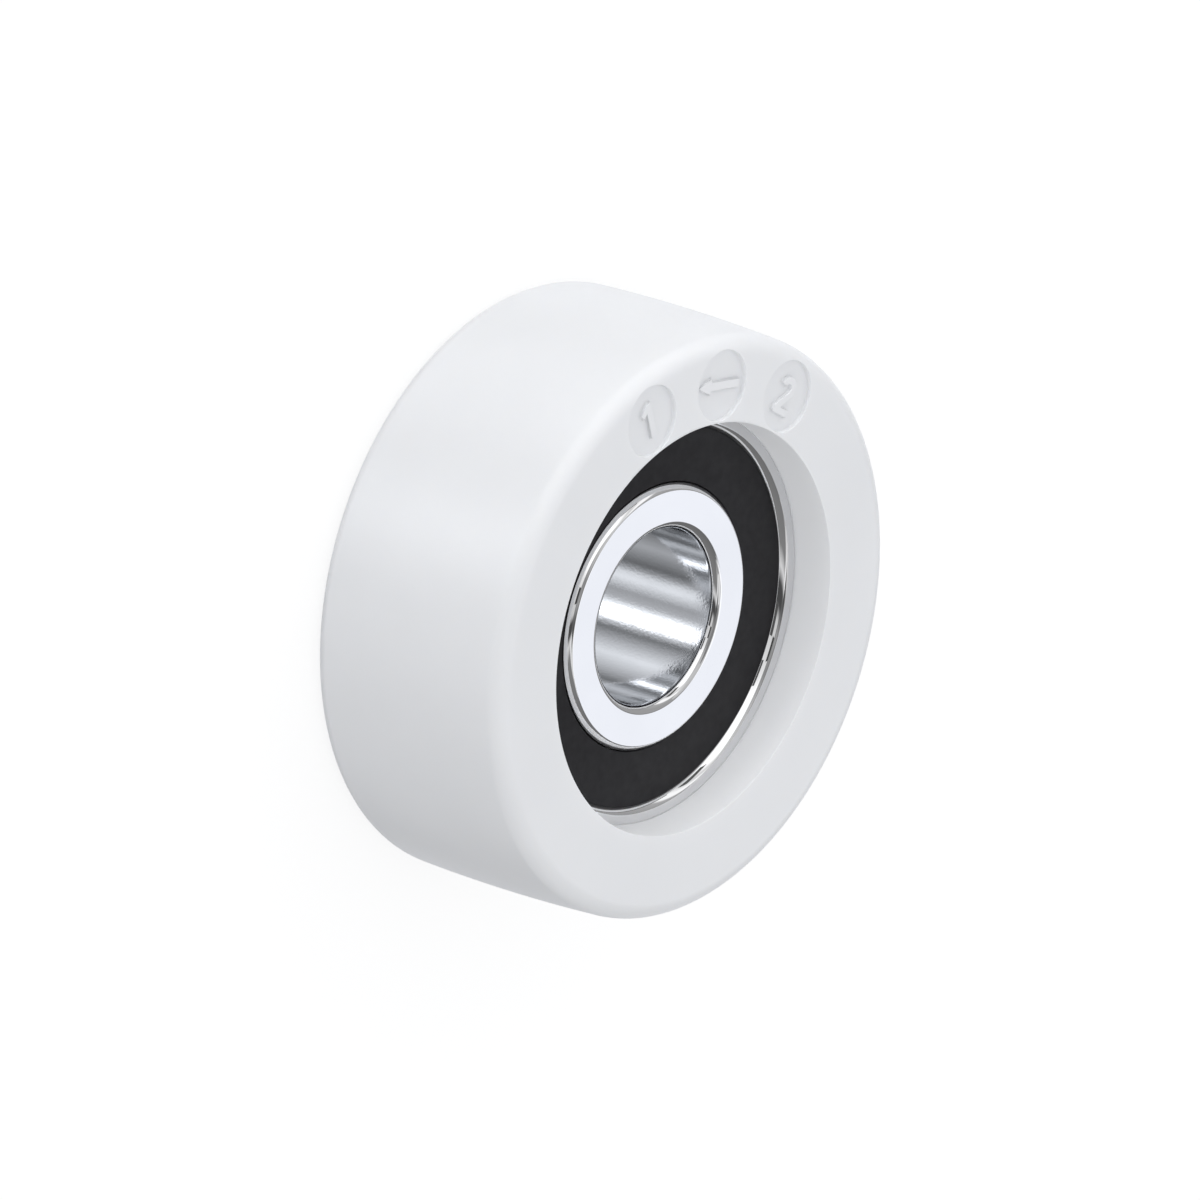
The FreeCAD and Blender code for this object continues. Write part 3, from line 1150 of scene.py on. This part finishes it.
@dataclass(frozen=True)
class Softbox:
    """A soft rectangular lamp that faces the roller and that polished surfaces don't show.

    Fields:
        name: the lamp's name.
        azimuth: from +X towards +Y, in degrees.
        elevation: above the floor, in degrees.
        width: level side.
        height: upright side.
        radiance: brightness of its face, where 1 is white.
        colour: tint of its light.
        distance: from the roller.
    """

    name: str
    azimuth: float
    elevation: float
    width: float
    height: float
    radiance: float
    colour: Colour = WHITE
    distance: float = 0.6

    def build(self) -> None:
        """Hangs the lamp. Its power is four times radiance times area."""
        lamp = bpy.data.lights.new(self.name, "AREA")
        lamp.shape = "RECTANGLE"
        lamp.size, lamp.size_y = self.width, self.height
        lamp.energy = 4 * self.radiance * self.width * self.height
        lamp.color = self.colour
        holder = bpy.data.objects.new(self.name, lamp)
        towards = direction(self.azimuth, self.elevation)
        holder.location = towards * self.distance
        holder.rotation_mode = "QUATERNION"
        holder.rotation_quaternion = (-towards).to_track_quat("-Z", "Y")
        holder.visible_camera = holder.visible_glossy = False
        bpy.context.scene.collection.objects.link(holder)


def set_up_card(
    name: str,
    azimuths: tuple[float, float],
    elevations: tuple[float, float],
    distance: float,
    material: Material,
) -> None:
    """Hangs a card that mirror rays alone meet: a patch of a sphere in rows of equal elevation.

    Args:
        name: the card's name.
        azimuths: from and to, in degrees.
        elevations: from and to, in degrees.
        distance: radius of the sphere.
        material: what it glows with.
    """
    around = np.radians(np.linspace(*azimuths, CARD_COLUMNS))
    up = np.radians(np.linspace(*elevations, CARD_ROWS))[:, None]
    ball = (np.cos(up) * np.cos(around), np.cos(up) * np.sin(around), np.sin(up) + 0 * around)
    points = distance * np.stack(ball, axis=-1).reshape(-1, 3)
    faces = grid_quads(CARD_ROWS, CARD_COLUMNS, closed_rows=False)[:, :-1].reshape(-1, 4)
    mesh = bpy.data.meshes.new(name)
    mesh.from_pydata(points.tolist(), [], faces.tolist())
    mesh.materials.append(material)
    card = bpy.data.objects.new(name, mesh)
    bpy.context.scene.collection.objects.link(card)
    card.visible_camera = card.visible_diffuse = card.visible_shadow = False
    card.visible_transmission = card.visible_volume_scatter = False


@dataclass(frozen=True)
class Card:
    """A bent card far round the set that only polished surfaces show.

    Fields:
        name: the card's name.
        azimuths: from and to, in degrees.
        elevations: from and to, in degrees.
        tone: brightness of the card.
        tint: its colour.
        distance: from the roller.
    """

    name: str
    azimuths: tuple[float, float]
    elevations: tuple[float, float]
    tone: float
    tint: Colour = WHITE
    distance: float = 0.85

    def build(self) -> None:
        """Sets up the card."""
        material, board = new_material(self.name)
        inputs = {"Color": (*self.tint, 1.0), "Strength": self.tone}
        board.output(board.add("ShaderNodeEmission", inputs).outputs["Emission"])
        set_up_card(self.name, self.azimuths, self.elevations, self.distance, material)


@dataclass(frozen=True)
class Belt:
    """A card all round the set, whose tone runs evenly from stop to stop. Only polished surfaces show it.

    Fields:
        name: the belt's name.
        elevations: from and to, in degrees.
        stops: azimuth in degrees and tone of each stop, in rising order.
        tint: its colour.
        distance: from the roller.
    """

    name: str
    elevations: tuple[float, float]
    stops: tuple[tuple[float, float], ...]
    tint: Colour = WHITE
    distance: float = 0.9

    def build(self) -> None:
        """Sets up the belt. A colour ramp makes its tone from the azimuth as a share of the full turn."""
        highest = max(tone for _, tone in self.stops)
        material, board = new_material(self.name)
        place = board.add("ShaderNodeSeparateXYZ", {0: board.place()}).outputs
        turn = board.compute("ARCTAN2", place["Y"], place["X"])
        share = board.compute("MULTIPLY", turn, 1 / (2 * math.pi))
        ramp = board.add("ShaderNodeValToRGB", {"Fac": board.compute("FRACT", share)})
        marks = ramp.color_ramp.elements
        while len(marks) < len(self.stops):
            marks.new(1.0)
        for mark, (azimuth, tone) in zip(marks, self.stops):
            mark.position = azimuth / 360
            mark.color = (*(tone / highest * part for part in self.tint), 1.0)
        inputs = {"Color": ramp.outputs["Color"], "Strength": highest}
        board.output(board.add("ShaderNodeEmission", inputs).outputs["Emission"])
        set_up_card(self.name, (0.0, 360.0), self.elevations, self.distance, material)


SOFTBOXES = (
    Softbox("far_key", 75.0, 4.0, 0.50, 0.16, 2.7),
    Softbox("near_key", 135.0, 4.0, 0.50, 0.16, 2.3),
)
CARDS = (
    Card("face_card", (333.0, 352.0), (28.0, 49.0), 1.17, (0.925, 0.95, 1.01)),
    Card("high_card", (320.0, 352.0), (49.0, 66.0), 1.40, (0.95, 0.965, 1.0)),
    Card("near_card", (157.0, 173.0), (40.0, 54.0), 0.06),
    Card("low_near_card", (143.0, 158.0), (9.0, 23.0), 0.08),
    Card("low_side_card", (172.0, 190.0), (10.0, 31.0), 0.10),
    Card("far_low_card", (12.0, 62.0), (-4.0, 13.0), 0.06),
    Card("far_step_card", (69.0, 88.0), (15.0, 31.0), 0.12),
    Card("zenith_card", (0.0, 360.0), (75.0, 89.9), 0.25, distance=0.9),
)
BELTS = (
    Belt(
        "under_belt",
        (-80.0, -4.0),
        (
            (0.0, 0.95), (38.0, 0.85), (55.0, 0.24), (100.0, 1.26), (134.0, 0.25), (142.0, 0.90),
            (147.0, 2.5), (152.0, 3.7), (158.0, 3.7), (164.0, 1.6), (172.0, 0.70), (183.0, 0.53),
            (200.0, 1.28), (207.0, 1.12), (215.0, 0.50), (223.0, 0.20), (252.0, 0.60),
            (282.0, 0.25), (300.0, 0.18), (316.0, 0.68), (345.0, 0.95),
        ),
        (0.94, 0.96, 1.0),
    ),
    Belt(
        "side_belt",
        (-4.0, 53.0),
        (
            (0.0, 0.40), (30.0, 0.40), (49.0, 0.48), (54.0, 1.20), (62.0, 1.20), (72.0, 0.75),
            (88.0, 1.40), (136.0, 1.40), (148.0, 1.00), (166.0, 0.80), (183.0, 0.70), (191.0, 0.08),
            (202.0, 0.08), (211.0, 0.80), (224.0, 0.25), (325.0, 0.17), (345.0, 0.28),
        ),
    ),
    Belt(
        "upper_belt",
        (53.0, 60.0),
        (
            (0.0, 0.55), (60.0, 0.80), (120.0, 0.55), (150.0, 0.31), (178.0, 0.30), (196.0, 0.12),
            (203.0, 0.16), (211.0, 1.00), (225.0, 1.10), (240.0, 0.85), (262.0, 0.62),
            (285.0, 0.28), (300.0, 0.45), (320.0, 1.25), (345.0, 0.75),
        ),
    ),
    Belt(
        "crown_belt",
        (60.0, 75.0),
        (
            (0.0, 0.58), (60.0, 0.68), (118.0, 0.57), (145.0, 0.30), (178.0, 0.40), (196.0, 0.16),
            (211.0, 0.08), (226.0, 0.10), (240.0, 0.57), (285.0, 1.00), (315.0, 0.52),
            (332.0, 0.75),
        ),
    ),
)


@dataclass
class Studio:
    """The set: a plain pale floor, soft light and the camera.

    Fields:
        floor_height: where the roller stands.
        pocket_floor: height of the bounce disc in a pocket.
        pocket_radius: of that disc.
        floor_radius: of the floor.
        floor_colour: of the floor's own surface.
        floor_lift: glow that brings the floor to white for camera and mirror rays.
        ambient: brightness from above of the soft light all round.
        ground: brightness from below.
        sky_colour: tint of that light.
        bounce: brightness of the disc that lights a pocket's wall from below.
        view_angle: between the roller's axis and the line of sight, in degrees.
        lean: of the roller's axis in the picture, in degrees.
        picture_side: length that the picture's side shows.
        camera_distance: from the roller's middle.
        cards: that the polished surfaces show.
        belts: round the set, that they show as well.
        lamps: that light the roller.
    """

    floor_height: float
    pocket_floor: float
    pocket_radius: float
    floor_radius: float = 3.0
    floor_colour: Colour = (0.35, 0.35, 0.35)
    floor_lift: float = 0.72
    ambient: float = 0.835
    ground: float = 0.50
    sky_colour: Colour = (0.985, 0.99, 1.0)
    bounce: float = 0.57
    view_angle: float = 53.41
    lean: float = 17.39
    picture_side: float = 98.44 * MM
    camera_distance: float = 0.3
    cards: Sequence[Card] = CARDS
    belts: Sequence[Belt] = BELTS
    lamps: Sequence[Softbox] = SOFTBOXES

    def floor(self) -> None:
        """Lays the floor: a disc of rings whose radius grows with the square of the ring's number."""
        radius = self.floor_radius * np.linspace(FLOOR_EYE, 1, FLOOR_RINGS) ** 2
        rings = np.stack((radius, np.full(FLOOR_RINGS, self.floor_height)), axis=-1)
        points = turned_grid(rings, FLOOR_STEPS).reshape(-1, 3)
        quads = grid_quads(FLOOR_RINGS, FLOOR_STEPS, closed_rows=False).reshape(-1, 4).tolist()
        faces = quads + [list(range(FLOOR_STEPS))]
        material, board = new_material("pale_floor")
        matte = board.add("ShaderNodeBsdfDiffuse", {"Color": (*self.floor_colour, 1.0)})
        lift = board.compute("MULTIPLY", board.seen_directly(), self.floor_lift)
        glow = board.add("ShaderNodeEmission", {"Strength": lift})
        both = board.add("ShaderNodeAddShader", {0: matte.outputs[0], 1: glow.outputs[0]})
        board.output(both.outputs[0])
        floor = Surface(points, faces).to_piece("floor", [material])
        floor.visible_glossy = floor.visible_diffuse = floor.visible_shadow = False

    def sky(self) -> None:
        """Lights the set softly all round, more from above than from below, and shows white behind it."""
        world = bpy.data.worlds.new("studio_sky")
        world.use_nodes = True
        board = NodeBoard(world.node_tree)
        towards = board.add("ShaderNodeTexCoord").outputs["Generated"]
        height = board.add("ShaderNodeSeparateXYZ", {0: towards}).outputs["Z"]
        above = board.compute("GREATER_THAN", height, 0.0)
        inputs = {"Value": above, "To Min": self.ground, "To Max": self.ambient}
        light = board.add("ShaderNodeMapRange", inputs).outputs["Result"]
        inputs = {"Value": board.seen_directly(), "To Min": light, "To Max": 1.0}
        strength = board.add("ShaderNodeMapRange", inputs).outputs["Result"]
        inputs = {"Color": (*self.sky_colour, 1.0), "Strength": strength}
        sky = board.add("ShaderNodeBackground", inputs)
        board.output(sky.outputs[0], "ShaderNodeOutputWorld")
        bpy.context.scene.world = world

    def bounce_discs(self) -> None:
        """Lays a disc over each end of the bearing that only the light on the pocket's wall meets."""
        material, board = new_material("pocket_bounce")
        glow = board.add("ShaderNodeEmission", {"Strength": self.bounce})
        board.output(glow.outputs["Emission"])
        for side in Side:
            rim = np.array([(self.pocket_radius, side.value * self.pocket_floor)])
            points = turned_grid(rim, DISC_STEPS).reshape(-1, 3)
            name = f"{side.name.lower()}_bounce"
            disc = Surface(points, [list(range(DISC_STEPS))]).to_piece(name, [material])
            disc.visible_camera = disc.visible_glossy = disc.visible_shadow = False
            disc.visible_transmission = disc.visible_volume_scatter = False

    def camera(self) -> None:
        """Sets the camera, which looks without perspective.

        The view is tipped from the axis by the view angle, and turned in the picture by the lean.
        """
        tip, lean = math.radians(self.view_angle), math.radians(self.lean)
        across = Vector((math.cos(lean), -math.sin(lean), 0.0))
        beside = Vector((-math.sin(lean), -math.cos(lean), 0.0))
        axis = Vector((0.0, 0.0, 1.0))
        along = math.sin(tip) * axis + math.cos(tip) * across
        back = math.cos(tip) * axis - math.sin(tip) * across
        right = math.cos(lean) * along - math.sin(lean) * beside
        up = -math.sin(lean) * along - math.cos(lean) * beside
        lens = bpy.data.cameras.new("camera")
        lens.type = "ORTHO"
        lens.ortho_scale = self.picture_side
        lens.clip_start, lens.clip_end = 0.01, 20.0
        camera = bpy.data.objects.new("camera", lens)
        turn = Matrix((right, up, back)).transposed()
        camera.matrix_world = Matrix.Translation(back * self.camera_distance) @ turn.to_4x4()
        bpy.context.scene.collection.objects.link(camera)
        bpy.context.scene.camera = camera

    def build(self) -> None:
        """Sets up everything round the roller."""
        self.floor()
        self.sky()
        self.bounce_discs()
        for lamp in self.lamps:
            lamp.build()
        for card in (*self.cards, *self.belts):
            card.build()
        self.camera()
        bpy.context.scene.view_settings.view_transform = "Standard"


def main() -> None:
    """Builds the roller, its signs, the bearing and the set, in that order."""
    logging.basicConfig(level=logging.INFO, format="%(name)s: %(message)s")
    low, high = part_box("roller_body")
    ring_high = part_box("outer_ring")[1]
    land_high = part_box("inner_ring")[1]
    ball_low, ball_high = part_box("ball_1")
    mounts = {mount["name"]: mount for mount in frame["record"]["mounts"]}
    bore_radius = mounts["bore"]["dims"]["r_mm"] * MM

    shell = RollerShell(
        tread_radius=high.x,
        half_width=high.z,
        seat_radius=ring_high.x,
        ring_face=ring_high.z,
    )
    shell.build(POLYAMIDE.material())
    sign_finish = SIGN_POLYAMIDE.material()
    shapes = (SignShape.TWO, SignShape.ARROW, SignShape.ONE)
    for shape, angle in zip(shapes, shell.mark_angles):
        floor = shell.half_width - shell.mark_depth
        RaisedSign(f"mark_{shape.value}", shape, angle, shell.mark_circle, floor).build(sign_finish)

    Bearing(
        bore_radius=bore_radius,
        seat_radius=ring_high.x,
        face=ring_high.z,
        land_radius=land_high.x,
        seal_edge=land_high.x + LIP_PLAY,
        pitch_radius=(ball_low.x + ball_high.x) / 2,
        ball_radius=(ball_high.x - ball_low.x) / 2,
    ).build()

    Studio(
        floor_height=low.z,
        pocket_floor=ring_high.z + DISC_GAP,
        pocket_radius=ring_high.x - DISC_GAP,
    ).build()


if __name__ == "__main__":
    main()
